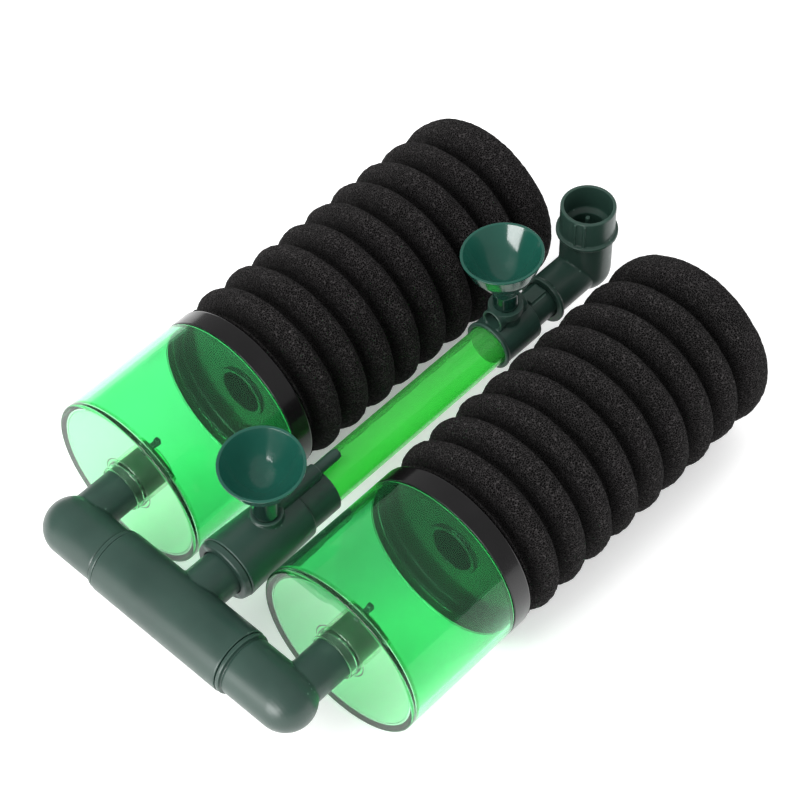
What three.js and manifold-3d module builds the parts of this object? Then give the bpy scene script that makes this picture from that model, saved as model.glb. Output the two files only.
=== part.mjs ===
// Double sponge filter for an aquarium: two media cups with ribbed foam sponges on a
// T-shaped manifold, and an air-driven lift tube between them that ends in an outlet.
// Millimetres, +Z up. The filter lies on its sponges: X runs along the manifold,
// Y along the lift tube towards the outlet, and the suction cups stand up along Z.
// The origin is at the middle of the footprint, on the surface under the sponges.

import * as THREE from "three";
import { mergeVertices } from "three/addons/utils/BufferGeometryUtils.js";
import Module from "manifold-3d";

const wasm = await Module();
wasm.setup();

// Clearance between pieces that push together.
const gap = 0.3;

// Layout. Along Y, zero is the front face of the media cups.
const chamberX = 51;
const manifoldY = -24.3;
const spongeRadius = 35.6;
const frontY = -36.6;
const backY = 197.5;

// Media cup.
const cupRadius = 34;
const cupLength = 49.6;
const cupInnerRadius = 31.6;
const cupFloor = 2.4;
const cupLipRadius = 32.7;
const cupLipLength = 3;
const cupEdge = 1.2;
const collarRadius = 9.2;
const collarBore = 8.2;
const collarFront = -2.7;
const collarBack = 13.8;

// Cup lid, which also carries the sponge core.
const lidFront = 50.1;
const lidBack = 58.3;
const lidSeatRadius = 33;
const lidSeatDepth = 2.9;
const lidRecessRadius = 31.2;
const lidFloor = 56.6;
const lidHole = 8.5;
const lidBossRadius = 10;
const lidBossFront = 55.9;
const lidBossBack = 66;

// Sponge core and its end cap.
const coreRadius = 12;
const coreBore = 10.3;
const coreFront = 58.6;
const coreBack = 181;
const coreSlotRows = 7;
const coreSlot = new THREE.Vector3(4.2, 11, 30);
const capThickness = 1.8;
const capSpigot = 6;

// Foam sponge.
const spongeFront = 59;
const spongeBack = 189.3;
const spongeBore = 12.4;
const spongeBoreBack = 184;
const ribCount = 9;
const ribPitch = 13.83;
const firstCrest = 69.7;
const grooveRadius = 30.4;
const crestHalfWidth = 3.1;
const spongeEndRadius = 29;

// Manifold tee and elbows.
const teeRadius = 11.9;
const teeLipRadius = 12.3;
const teeLipWidth = 2.6;
const teeHalf = 29.5;
const teeBore = 7.6;
const teeSocketRadius = 9.3;
const teeSocketDepth = 11.2;
const teeBranchRadius = 8.5;
const teeBranchBore = 6.9;
const teeBranchEnd = 6;
const elbowRadius = 10.9;
const elbowBore = 7.4;
const elbowFlangeRadius = 11.7;
const elbowFlangeWidth = 2.1;
const elbowSpigotRadius = 9;
const elbowSpigotLength = 11;
const elbowBranchRadius = 7.9;
const elbowBranchBore = 6.4;
const elbowBranchEnd = 13.2;

// Lower coupling of the lift tube.
const ringFront = -3.4;
const ringBack = -0.9;
const ringRadius = 12;
const couplingFront = -0.6;
const couplingRadius = 12.2;
const couplingTaperEnd = 31.6;
const couplingTaperRadius = 10.7;
const couplingSocketRadius = 9.5;
const couplingBack = 45.2;
const couplingBore = 7;
const branchSocketEnd = 6.4;
const tubeSocketStart = 33;

// Air line: the inlet on the coupling, the passage behind it and the jet in the flow.
const airZ = 11.8;
const airHousingRadius = 3.1;
const airHousingFront = 25.6;
const airHousingBack = 43;
const airPassage = 1.2;
const airWellY = 29.5;
const barbFront = 35.6;
const barbBack = 53.7;
const barbRadius = 2.1;
const barbBore = 1.1;
const barbSeat = 2.4;
const jetRadius = 1.6;
const jetBore = 0.8;
const jetWell = 1.9;
const jetBottom = -1.5;
const jetTop = 9.5;

// Lift tube.
const tubeRadius = 8;
const tubeBore = 6.8;
const tubeFront = 33.3;
const tubeBack = 147.2;
const tubeSocketBore = tubeRadius + gap;

// Upper holder.
const holderFront = 131.5;
const holderLipRadius = 9.9;
const holderLipWidth = 1.3;
const holderRadius = 9.4;
const holderBack = 150.7;
const holderStop = 147.6;
const spigotRadius = 7;
const spigotBore = 5.4;
const spigotBack = 172;

// Suction cups and the bosses that hold their stems.
const suctionRadius = 15;
const suctionHeight = 32.6;
const suctionRim = 1;
const suctionFloor = 18.8;
const stemRadius = 4;
const stemZ = 9.6;
const lowerBossY = 19;
const lowerBossRadius = 5.9;
const lowerBossTop = 12.4;
const upperBossY = 141;
const upperBossRadius = 6.4;
const upperBossTop = 15.6;
const upperBossRing = 3.2;
const upperPostRadius = 5.4;
const hoodZ = 11.7;
const hoodRadius = 4.5;
const hoodBore = 3.4;
const hoodBoreZ = 12.3;
const hoodFront = 133.7;
const hoodBack = 148.5;
const hoodBoreBack = 146.5;

// Outlet elbow and nozzle.
const outletY = 186;
const outletFront = 161.5;
const outletLipRadius = 9.9;
const outletNeckRadius = 8.3;
const outletSocketEnd = 172.3;
const outletNeckBore = 6.3;
const outletPipeRadius = 9.8;
const outletPipeBore = 8.2;
const outletPipeTop = 18;
const nozzleBeadRadius = 11.5;
const nozzleBeadBottom = 18.3;
const nozzleBeadTop = 19.8;
const nozzleRadius = 10.3;
const nozzleTop = 31.7;
const nozzleMouth = 9;
const nozzleSpigotBottom = 12;
const nozzleSpigotBore = 6.9;
const nozzlePinTop = 24.1;
const nozzlePinRadius = 0.9;

// Facets round a full turn, by how large the piece is.
const cupFacets = 40;
const spongeFacets = 32;
const pipeFacets = 24;
const smallFacets = 16;

// Finishes.
const darkPlastic = { color: 0x2d4840, roughness: 0.42, metalness: 0 };
const clearGreen = { color: 0x46dc64, roughness: 0.12, metalness: 0 };
const tubeGreen = { color: 0x22c83a, roughness: 0.1, metalness: 0 };
const blackPlastic = { color: 0x302d2f, roughness: 0.5, metalness: 0 };
const blackFoam = { color: 0x232021, roughness: 0.95, metalness: 0 };
const softRubber = { color: 0x1e5f50, roughness: 0.22, metalness: 0 };

// Turns that lay the Y axis of a turned shape along another axis.
const alongY = new THREE.Matrix4();
const alongX = new THREE.Matrix4().makeRotationZ(-Math.PI / 2);
const alongMinusX = new THREE.Matrix4().makeRotationZ(Math.PI / 2);
const alongZ = new THREE.Matrix4().makeRotationX(Math.PI / 2);

// Welds a closed geometry into a solid that can be joined and cut.
function solid(geometry) {
  geometry.deleteAttribute("normal");
  geometry.deleteAttribute("uv");
  const welded = mergeVertices(geometry, 1e-4);
  const corners = welded.index.array;
  const triangles = [];
  for (let i = 0; i < corners.length; i += 3) {
    const [a, b, c] = [corners[i], corners[i + 1], corners[i + 2]];
    if (a !== b && b !== c && c !== a) {
      triangles.push(a, b, c);
    }
  }
  const vertProperties = welded.attributes.position.array;
  const triVerts = new Uint32Array(triangles);
  return new wasm.Manifold(new wasm.Mesh({ numProp: 3, vertProperties, triVerts }));
}

// A shape turned about an axis from [radius, height] points, laid along the axis that
// turn gives and moved to the place that at gives.
function turned(outline, facets, turn = alongY, at = [0, 0, 0]) {
  const points = outline.map(([radius, height]) => new THREE.Vector2(radius, height));
  const geometry = new THREE.LatheGeometry(points, facets);
  geometry.applyMatrix4(turn);
  geometry.translate(...at);
  return solid(geometry);
}

// A solid rod between two heights.
function rod(radius, from, to, facets, turn = alongY, at = [0, 0, 0]) {
  return turned([[0, from], [radius, from], [radius, to], [0, to]], facets, turn, at);
}

function ball(radius, facets) {
  return solid(new THREE.SphereGeometry(radius, facets, facets / 2).rotateX(Math.PI / 2));
}

function block(size, at) {
  return solid(new THREE.BoxGeometry(...size).translate(...at));
}

function joined(first, ...others) {
  return others.reduce((whole, piece) => whole.add(piece), first);
}

function cut(body, ...tools) {
  return tools.reduce((whole, tool) => whole.subtract(tool), body);
}

// A named mesh from a finished solid.
function piece(name, shape, finish, at = [0, 0, 0]) {
  const { vertProperties, triVerts } = shape.getMesh();
  const geometry = new THREE.BufferGeometry();
  geometry.setAttribute("position", new THREE.BufferAttribute(vertProperties, 3));
  geometry.setIndex(new THREE.BufferAttribute(triVerts, 1));
  geometry.computeVertexNormals();
  const mesh = new THREE.Mesh(geometry, new THREE.MeshStandardMaterial(finish));
  mesh.name = name;
  mesh.position.set(...at);
  return mesh;
}

// Clear cup: an open drum with a tubular inlet collar through its floor, a thin lip
// for the lid and a latch lug on the collar that keeps the elbow from backing out.
function mediaCup() {
  const drum = turned([
    [collarBore, collarFront],
    [collarRadius - 0.2, collarFront],
    [collarRadius - 0.2, 0],
    [cupRadius - cupEdge, 0],
    [cupRadius, cupEdge],
    [cupRadius, cupLength],
    [cupLipRadius, cupLength],
    [cupLipRadius, cupLength + cupLipLength],
    [cupInnerRadius, cupLength + cupLipLength],
    [cupInnerRadius, cupFloor + cupEdge],
    [cupInnerRadius - cupEdge, cupFloor],
    [collarRadius + cupEdge, cupFloor],
    [collarRadius, cupFloor + cupEdge],
    [collarRadius, collarBack],
    [collarBore, collarBack],
    [collarBore, collarFront],
  ], cupFacets);
  const lug = block([2, 6.4, 1.5], [0, collarBack + 0.2, collarBore + 0.9]);
  return drum.add(lug);
}

// Lid: a shallow dish that seats round the cup's lip, with a central hole whose tube
// runs back into the sponge core.
function cupLid() {
  const rim = 1;
  return turned([
    [lidHole, lidBossFront],
    [lidBossRadius, lidBossFront],
    [lidBossRadius, lidFloor],
    [lidRecessRadius, lidFloor],
    [lidRecessRadius, lidFront + lidSeatDepth],
    [lidSeatRadius, lidFront + lidSeatDepth],
    [lidSeatRadius, lidFront],
    [cupRadius, lidFront],
    [cupRadius, lidBack - rim],
    [cupRadius - rim, lidBack],
    [lidBossRadius, lidBack],
    [lidBossRadius, lidBossBack],
    [lidHole, lidBossBack],
    [lidHole, lidBossFront],
  ], cupFacets);
}

// Core: a tube with rows of slots, two crossing cuts in each row.
function spongeCore() {
  const tube = turned([
    [coreBore, coreFront],
    [coreRadius, coreFront],
    [coreRadius, coreBack],
    [coreBore, coreBack],
    [coreBore, coreFront],
  ], smallFacets);
  const cuts = [];
  const pitch = (coreBack - lidBossBack) / coreSlotRows;
  for (let row = 0; row < coreSlotRows; row += 1) {
    const y = lidBossBack + pitch * (row + 0.5);
    cuts.push(block([coreSlot.x, coreSlot.y, coreSlot.z], [0, y, 0]));
    cuts.push(block([coreSlot.z, coreSlot.y, coreSlot.x], [0, y, 0]));
  }
  return cut(tube, ...cuts);
}

// Cap that closes the far end of the core.
function coreCap() {
  const seat = coreBack + gap;
  return turned([
    [0, coreBack - capSpigot],
    [coreBore - gap, coreBack - capSpigot],
    [coreBore - gap, seat],
    [coreRadius, seat],
    [coreRadius, seat + capThickness],
    [0, seat + capThickness],
  ], smallFacets);
}

// Sponge: nine round ribs with V grooves between them and a blind bore for the core.
function sponge() {
  const outline = [[0, spongeFront], [grooveRadius, spongeFront]];
  for (let rib = 0; rib < ribCount; rib += 1) {
    const crest = firstCrest + ribPitch * rib;
    outline.push([spongeRadius, crest - crestHalfWidth]);
    outline.push([spongeRadius, crest + crestHalfWidth]);
    if (rib < ribCount - 1) {
      outline.push([grooveRadius, crest + ribPitch / 2]);
    }
  }
  outline.push([spongeEndRadius, spongeBack], [0, spongeBack]);
  const bore = rod(spongeBore, spongeFront - 1, spongeBoreBack, smallFacets);
  return turned(outline, spongeFacets).subtract(bore);
}

// Tee: a run along X with a socket at each end, and a branch along Y.
function manifoldTee() {
  const run = turned([
    [0, -teeHalf],
    [teeLipRadius, -teeHalf],
    [teeLipRadius, -teeHalf + teeLipWidth],
    [teeRadius, -teeHalf + teeLipWidth + 0.4],
    [teeRadius, teeHalf - teeLipWidth - 0.4],
    [teeLipRadius, teeHalf - teeLipWidth],
    [teeLipRadius, teeHalf],
    [0, teeHalf],
  ], pipeFacets, alongX);
  const branchLength = teeBranchEnd - manifoldY;
  const socketFloor = teeHalf - teeSocketDepth;
  return cut(
    joined(run, rod(teeBranchRadius, 0, branchLength, pipeFacets)),
    rod(teeBore, -teeHalf - 1, teeHalf + 1, smallFacets, alongX),
    rod(teeSocketRadius, socketFloor, teeHalf + 1, pipeFacets, alongX),
    rod(teeSocketRadius, socketFloor, teeHalf + 1, pipeFacets, alongMinusX),
    rod(teeBranchBore, 0, branchLength + 1, smallFacets),
  );
}

// Elbow: a domed corner with a spigot towards the tee and a branch into the cup.
function elbow(towardsTee) {
  const shoulder = chamberX - teeHalf - gap;
  const spigotEnd = shoulder + elbowSpigotLength;
  const run = turned([
    [0, 0],
    [elbowRadius, 0],
    [elbowRadius, shoulder - elbowFlangeWidth],
    [elbowFlangeRadius, shoulder - elbowFlangeWidth],
    [elbowFlangeRadius, shoulder],
    [elbowSpigotRadius, shoulder],
    [elbowSpigotRadius, spigotEnd],
    [0, spigotEnd],
  ], pipeFacets, towardsTee);
  const branchLength = elbowBranchEnd - manifoldY;
  return cut(
    joined(run, ball(elbowRadius, pipeFacets), rod(elbowBranchRadius, 0, branchLength, pipeFacets)),
    rod(elbowBore, 0, spigotEnd + 1, smallFacets, towardsTee),
    ball(elbowBore, smallFacets),
    rod(elbowBranchBore, 0, branchLength + 1, smallFacets),
  );
}

// Ring that closes the front of the coupling round the tee's branch.
function couplingRing() {
  const bore = teeBranchRadius + gap;
  return turned([
    [bore, ringFront],
    [ringRadius - 0.8, ringFront],
    [ringRadius, ringFront + 0.8],
    [ringRadius, ringBack],
    [bore, ringBack],
    [bore, ringFront],
  ], pipeFacets);
}

// Coupling: a tapered body with sockets for the tee and the lift tube, a boss for the
// lower suction cup, and a housing on top that takes the air in.
function riserCoupling() {
  const body = turned([
    [0, couplingFront],
    [couplingRadius, couplingFront],
    [couplingTaperRadius, couplingTaperEnd],
    [couplingSocketRadius, couplingTaperEnd + 0.5],
    [couplingSocketRadius, couplingBack],
    [0, couplingBack],
  ], pipeFacets);
  const boss = rod(lowerBossRadius, 0, lowerBossTop, smallFacets, alongZ, [0, lowerBossY, 0]);
  const housing = rod(airHousingRadius, airHousingFront, airHousingBack, smallFacets, alongY, [0, 0, airZ]);
  const webLength = airHousingBack - airHousingFront - 1;
  const web = block([2.6, webLength, 6], [0, airHousingFront + webLength / 2 + 0.5, airZ - 4]);
  return cut(
    joined(body, boss, housing, web),
    rod(teeBranchRadius + gap, couplingFront - 1, branchSocketEnd, pipeFacets),
    rod(couplingBore, branchSocketEnd - 1, tubeSocketStart + 1, pipeFacets),
    rod(tubeSocketBore, tubeSocketStart, couplingBack + 1, pipeFacets),
    rod(stemRadius + gap, stemZ - gap, lowerBossTop + 1, smallFacets, alongZ, [0, lowerBossY, 0]),
    rod(barbSeat, barbFront - gap, airHousingBack + 1, 12, alongY, [0, 0, airZ]),
    rod(airPassage, airWellY - 1, barbFront, 12, alongY, [0, 0, airZ]),
    rod(jetWell, 0, jetTop + gap, 12, alongZ, [0, airWellY, 0]),
    rod(airPassage, jetTop, airZ, 12, alongZ, [0, airWellY, 0]),
  );
}

// Hose barb of the air inlet.
function airBarb() {
  return turned([
    [barbBore, barbFront],
    [barbRadius, barbFront],
    [barbRadius, barbBack - 1],
    [barbRadius - 0.3, barbBack],
    [barbBore, barbBack],
    [barbBore, barbFront],
  ], 16);
}

// Jet that lets the air into the middle of the water flow.
function airJet() {
  return turned([
    [jetBore, jetBottom],
    [jetRadius, jetBottom],
    [jetRadius, jetTop],
    [jetBore, jetTop],
    [jetBore, jetBottom],
  ], 12, alongZ);
}

function liftTube() {
  return turned([
    [tubeBore, tubeFront],
    [tubeRadius, tubeFront],
    [tubeRadius, tubeBack],
    [tubeBore, tubeBack],
    [tubeBore, tubeFront],
  ], pipeFacets);
}

// Holder: a socket over the lift tube with a spigot for the outlet and a flat key on
// the spigot. A post with a ring takes the stem of the upper suction cup, and a hood
// that is open at the front runs under the ring.
function tubeHolder() {
  const body = turned([
    [0, holderFront],
    [holderLipRadius, holderFront],
    [holderLipRadius, holderFront + holderLipWidth],
    [holderRadius, holderFront + holderLipWidth + 0.4],
    [holderRadius, holderBack],
    [spigotRadius, holderBack + 0.6],
    [spigotRadius, spigotBack],
    [0, spigotBack],
  ], pipeFacets);
  const hood = rod(hoodRadius, hoodFront, hoodBack, smallFacets, alongY, [0, 0, hoodZ]);
  const post = rod(upperPostRadius, 0, upperBossTop, smallFacets, alongZ, [0, upperBossY, 0]);
  const ringStart = upperBossTop - upperBossRing;
  const ring = rod(upperBossRadius, ringStart, upperBossTop, smallFacets, alongZ, [0, upperBossY, 0]);
  const key = block([5.2, 8.2, 3], [0, 156.6, spigotRadius - 0.6]);
  return cut(
    joined(body, hood, post, ring, key),
    rod(tubeSocketBore, holderFront - 1, holderStop, pipeFacets),
    rod(spigotBore, holderStop - 1, spigotBack + 1, smallFacets),
    rod(hoodBore, hoodFront - 1, hoodBoreBack, 16, alongY, [0, 0, hoodBoreZ]),
    rod(stemRadius + gap, stemZ - gap, upperBossTop + 1, smallFacets, alongZ, [0, upperBossY, 0]),
  );
}

// Suction cup: a plain stem that flares into a dish with a narrow flat rim and a
// parabolic bowl.
function suctionCup() {
  const outline = [
    [0, 0],
    [stemRadius, 0],
    [stemRadius, 12.5],
    [5.6, 15],
    [10, 21],
    [13.4, 28],
    [suctionRadius, suctionHeight - 0.7],
    [suctionRadius, suctionHeight],
  ];
  const bowlRadius = suctionRadius - suctionRim;
  const bowlDepth = suctionHeight - suctionFloor;
  for (let ring = 5; ring >= 0; ring -= 1) {
    const share = ring / 5;
    outline.push([bowlRadius * share, suctionFloor + bowlDepth * share ** 2]);
  }
  return turned(outline, pipeFacets, alongZ);
}

// Outlet elbow: a bell-mouthed socket over the holder's spigot that turns up into the
// outlet pipe.
function outletElbow() {
  const front = outletFront - outletY;
  const neck = turned([
    [0, front],
    [outletLipRadius, front],
    [outletLipRadius, front + 1.9],
    [outletNeckRadius, front + 3.1],
    [outletNeckRadius, 0],
    [0, 0],
  ], pipeFacets);
  const pipe = rod(outletPipeRadius, 0, outletPipeTop, pipeFacets, alongZ);
  return cut(
    joined(neck, ball(outletPipeRadius, pipeFacets), pipe),
    rod(spigotRadius + gap, front - 1, outletSocketEnd - outletY, pipeFacets),
    rod(outletNeckBore, outletSocketEnd - outletY - 1, 0, smallFacets),
    ball(outletPipeBore, pipeFacets),
    rod(outletPipeBore, 0, outletPipeTop + 1, pipeFacets, alongZ),
  );
}

// Nozzle: a ring with a bead that sits on the outlet pipe, a spigot inside the pipe,
// and a cross bar with an upright pin in the middle of the flow.
function outletNozzle() {
  const spigot = outletPipeBore - gap;
  const ring = turned([
    [nozzleSpigotBore, nozzleSpigotBottom],
    [spigot, nozzleSpigotBottom],
    [spigot, nozzleBeadBottom],
    [nozzleBeadRadius, nozzleBeadBottom],
    [nozzleBeadRadius, nozzleBeadTop],
    [nozzleRadius, nozzleBeadTop + 0.2],
    [nozzleRadius, nozzleTop - 0.7],
    [nozzleRadius - 0.4, nozzleTop],
    [nozzleMouth, nozzleTop],
    [nozzleMouth, nozzleBeadTop + 1.5],
    [nozzleSpigotBore, nozzleBeadTop],
    [nozzleSpigotBore, nozzleSpigotBottom],
  ], pipeFacets, alongZ);
  const bar = block([2 * nozzleSpigotBore + 0.8, 1.6, 2], [0, 0, nozzleSpigotBottom + 1]);
  return joined(ring, bar, rod(nozzlePinRadius, nozzleSpigotBottom + 0.5, nozzlePinTop, 10, alongZ));
}

// One chamber: cup, lid, core, cap and sponge on a common axis along Y.
function chamber(side, sign) {
  const group = new THREE.Group();
  group.position.x = sign * chamberX;
  group.add(
    piece(`media_cup_${side}`, mediaCup(), clearGreen),
    piece(`cup_lid_${side}`, cupLid(), blackPlastic),
    piece(`sponge_core_${side}`, spongeCore(), blackPlastic),
    piece(`core_cap_${side}`, coreCap(), blackPlastic),
    piece(`sponge_${side}`, sponge(), blackFoam),
    piece(`elbow_${side}`, elbow(sign > 0 ? alongMinusX : alongX), darkPlastic, [0, manifoldY, 0]),
  );
  return group;
}

// The lift line: tee, coupling, air inlet, tube, holder, suction cups and outlet.
function liftLine() {
  const group = new THREE.Group();
  group.add(
    piece("manifold_tee", manifoldTee(), darkPlastic, [0, manifoldY, 0]),
    piece("coupling_ring", couplingRing(), darkPlastic),
    piece("riser_coupling", riserCoupling(), darkPlastic),
    piece("air_barb", airBarb(), darkPlastic, [0, 0, airZ]),
    piece("air_jet", airJet(), darkPlastic, [0, airWellY, 0]),
    piece("lift_tube", liftTube(), tubeGreen),
    piece("tube_holder", tubeHolder(), darkPlastic),
    piece("outlet_elbow", outletElbow(), darkPlastic, [0, outletY, 0]),
    piece("outlet_nozzle", outletNozzle(), darkPlastic, [0, outletY, 0]),
    piece("suction_cup_lower", suctionCup(), softRubber, [0, lowerBossY, stemZ]),
    piece("suction_cup_upper", suctionCup(), softRubber, [0, upperBossY, stemZ]),
  );
  return group;
}

const spongeFilter = new THREE.Group();
spongeFilter.position.set(0, -(frontY + backY) / 2, spongeRadius);
spongeFilter.add(chamber("left", -1), chamber("right", 1), liftLine());

export default spongeFilter;
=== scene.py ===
import math

import bmesh
import bpy
from mathutils import Matrix, Vector, noise


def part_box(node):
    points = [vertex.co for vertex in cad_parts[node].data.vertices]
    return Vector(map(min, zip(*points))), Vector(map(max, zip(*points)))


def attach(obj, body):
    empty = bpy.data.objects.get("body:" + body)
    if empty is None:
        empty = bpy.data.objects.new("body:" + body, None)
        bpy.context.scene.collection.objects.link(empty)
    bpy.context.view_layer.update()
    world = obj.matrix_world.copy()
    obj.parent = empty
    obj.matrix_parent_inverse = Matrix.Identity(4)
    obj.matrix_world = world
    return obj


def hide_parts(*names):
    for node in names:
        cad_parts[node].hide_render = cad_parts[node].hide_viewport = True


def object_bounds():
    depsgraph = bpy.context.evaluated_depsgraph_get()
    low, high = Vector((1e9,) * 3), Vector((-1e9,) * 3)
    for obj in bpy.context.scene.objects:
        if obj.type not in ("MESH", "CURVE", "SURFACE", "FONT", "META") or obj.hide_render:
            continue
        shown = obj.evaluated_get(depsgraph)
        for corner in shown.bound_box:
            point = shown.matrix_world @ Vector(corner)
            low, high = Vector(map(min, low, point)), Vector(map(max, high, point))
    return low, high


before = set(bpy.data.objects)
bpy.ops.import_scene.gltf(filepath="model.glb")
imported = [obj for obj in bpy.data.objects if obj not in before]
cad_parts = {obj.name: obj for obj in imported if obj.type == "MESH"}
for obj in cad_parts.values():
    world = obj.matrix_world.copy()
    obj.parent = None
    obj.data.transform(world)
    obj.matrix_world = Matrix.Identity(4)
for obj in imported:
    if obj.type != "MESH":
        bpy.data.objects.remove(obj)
cadBox = [list(corner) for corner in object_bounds()]
print("frame loaded")

mm = 0.001
fit = 0.3  # clearance between pieces that push together, mm

# Shop coordinates: millimetres, x = 0 in the middle plane, y = 0 at the front faces of the
# cups, z = 0 on the axes of cups and tube.
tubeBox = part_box("lift_tube")
shopOrigin = Vector((
    (tubeBox[0][0] + tubeBox[1][0]) / 2,
    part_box("media_cup_left")[0][1] + 2.7 * mm,
    (tubeBox[0][2] + tubeBox[1][2]) / 2,
))
shopToRow = Matrix.Translation(shopOrigin) @ Matrix.Diagonal((mm, mm, mm, 1))

sides = {"left": -1, "right": 1}
chamberX = 51
manifoldY = -24.3
outletY = 186
lowerBossY = 19
upperBossY = 141

# Turning, moulding and fitting.


def roundedOutline(outline, radius, steps=4):
    # Each corner is (radius, height) or (radius, height, rounding). Corners on the axis stay sharp.
    points = []
    for i, corner in enumerate(outline):
        here = Vector(corner[:2])
        wanted = corner[2] if len(corner) > 2 else radius
        before = Vector(outline[i - 1][:2]) - here
        after = Vector(outline[(i + 1) % len(outline)][:2]) - here
        if here.x < 1e-6 or wanted == 0 or before.angle(after) > math.radians(176):
            points.append(tuple(here))
            continue
        half = before.angle(after) / 2
        reach = min(wanted / math.tan(half), 0.46 * before.length, 0.46 * after.length)
        start = before.normalized()
        end = after.normalized()
        centre = here + (start + end).normalized() * reach / math.cos(half)
        fromCentre = here + start * reach - centre
        toEnd = here + end * reach - centre
        sweep = fromCentre.angle(toEnd)
        if before.length * 0.5 > reach + 0.12:
            points.append(tuple(here + start * (reach + 0.1)))
        for step in range(steps + 1):
            share = step / steps
            along = fromCentre * math.sin((1 - share) * sweep) + toEnd * math.sin(share * sweep)
            points.append(tuple(centre + along / math.sin(sweep)))
        if after.length * 0.5 > reach + 0.12:
            points.append(tuple(here + end * (reach + 0.1)))
    return points


def placed(radius, height, angle, axis):
    # A point at this radius, height and angle about the named axis.
    across = radius * math.cos(angle)
    up = radius * math.sin(angle)
    if axis == "X":
        return (height, across, up)
    if axis == "-X":
        return (-height, across, up)
    if axis == "Z":
        return (across, up, height)
    return (across, height, up)


def turned(outline, segments=96, axis="Y", at=(0, 0, 0)):
    # A turned mesh from an outline of (radius, height) points that closes on itself.
    shape = bmesh.new()
    rings = []
    for radius, height in outline:
        if radius < 1e-6:
            rings.append([shape.verts.new(placed(0, height, 0, axis))])
            continue
        rings.append([
            shape.verts.new(placed(radius, height, 2 * math.pi * i / segments, axis))
            for i in range(segments)
        ])
    for ring, following in zip(rings, rings[1:] + rings[:1]):
        for i in range(segments):
            j = (i + 1) % segments
            if len(ring) == 1 and len(following) == 1:
                break
            if len(ring) == 1:
                shape.faces.new((ring[0], following[i], following[j]))
            elif len(following) == 1:
                shape.faces.new((ring[i], ring[j], following[0]))
            else:
                shape.faces.new((ring[i], ring[j], following[j], following[i]))
    bmesh.ops.translate(shape, verts=shape.verts, vec=Vector(at))
    return meshFrom(shape, "turned")


def rod(radius, start, end, axis="Y", at=(0, 0, 0), segments=64):
    return turned([(0, start), (radius, start), (radius, end), (0, end)], segments, axis, at)


def ball(radius, at=(0, 0, 0), steps=24):
    arc = [
        (radius * math.sin(math.pi * i / steps), -radius * math.cos(math.pi * i / steps))
        for i in range(steps + 1)
    ]
    arc[0] = (0, -radius)
    arc[-1] = (0, radius)
    return turned(arc, 64, "Y", at)


def block(size, at, rotation=None):
    shape = bmesh.new()
    bmesh.ops.create_cube(shape, size=1)
    bmesh.ops.scale(shape, verts=shape.verts, vec=Vector(size))
    if rotation is not None:
        bmesh.ops.transform(shape, verts=shape.verts, matrix=rotation)
    bmesh.ops.translate(shape, verts=shape.verts, vec=Vector(at))
    return meshFrom(shape, "block")


def meshFrom(shape, name):
    bmesh.ops.recalc_face_normals(shape, faces=shape.faces)
    mesh = bpy.data.meshes.new(name)
    shape.to_mesh(mesh)
    shape.free()
    return mesh


def settled(piece):
    # The piece's mesh with its modifiers applied.
    graph = bpy.context.evaluated_depsgraph_get()
    return bpy.data.meshes.new_from_object(piece.evaluated_get(graph))


def moulded(adds, cuts, voxel=0.35, softening=3):
    # One moulded body: pieces joined, bores cut, then a fine skin whose edges are softened.
    helpers = []
    for mesh in adds + cuts:
        helper = bpy.data.objects.new("helper", mesh)
        bpy.context.scene.collection.objects.link(helper)
        helpers.append(helper)
    body = helpers[0]
    for i, helper in enumerate(helpers[1:], start=1):
        tool = body.modifiers.new("tool", "BOOLEAN")
        tool.operation = "UNION" if i < len(adds) else "DIFFERENCE"
        tool.solver = "MANIFOLD"
        tool.object = helper
    skin = body.modifiers.new("skin", "REMESH")
    skin.mode = "VOXEL"
    skin.voxel_size = voxel
    soften = body.modifiers.new("soften", "SMOOTH")
    soften.iterations = softening
    soften.factor = 0.5
    mesh = settled(body)
    for helper in helpers:
        bpy.data.objects.remove(helper)
    return mesh


def fitted(name, mesh, body, material, nodes=()):
    # The finished piece: into the row frame, smooth, with its finish, riding on its body.
    mesh.transform(shopToRow)
    mesh.name = name
    piece = bpy.data.objects.new(name, mesh)
    bpy.context.scene.collection.objects.link(piece)
    for face in mesh.polygons:
        face.use_smooth = True
    mesh.materials.clear()
    mesh.materials.append(material)
    if nodes:
        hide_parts(*nodes)
    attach(piece, body)
    return piece


# Finishes.


def newGroup(name, inputs, outputs):
    group = bpy.data.node_groups.new(name, "ShaderNodeTree")
    for label, kind, value in inputs:
        socket = group.interface.new_socket(name=label, in_out="INPUT", socket_type=kind)
        socket.default_value = value
    for label, kind in outputs:
        group.interface.new_socket(name=label, in_out="OUTPUT", socket_type=kind)
    start = group.nodes.new("NodeGroupInput")
    end = group.nodes.new("NodeGroupOutput")
    return group, start, end


def node(tree, kind, values=None, **settings):
    made = tree.nodes.new(kind)
    for name, value in settings.items():
        setattr(made, name, value)
    for name, value in (values or {}).items():
        made.inputs[name].default_value = value
    return made


def noiseAt(tree, place, scale, detail=3, roughness=0.5):
    made = node(tree, "ShaderNodeTexNoise", {"Detail": detail, "Roughness": roughness})
    tree.links.new(place, made.inputs["Vector"])
    if isinstance(scale, (int, float)):
        made.inputs["Scale"].default_value = scale
    else:
        tree.links.new(scale, made.inputs["Scale"])
    return made.outputs["Fac"]


def calculate(tree, operation, first, second=None, clamp=False):
    made = node(tree, "ShaderNodeMath", operation=operation, use_clamp=clamp)
    for socket, value in zip(made.inputs, (first, second)):
        if value is None:
            continue
        if isinstance(value, (int, float)):
            socket.default_value = value
        else:
            tree.links.new(value, socket)
    return made.outputs[0]


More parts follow.
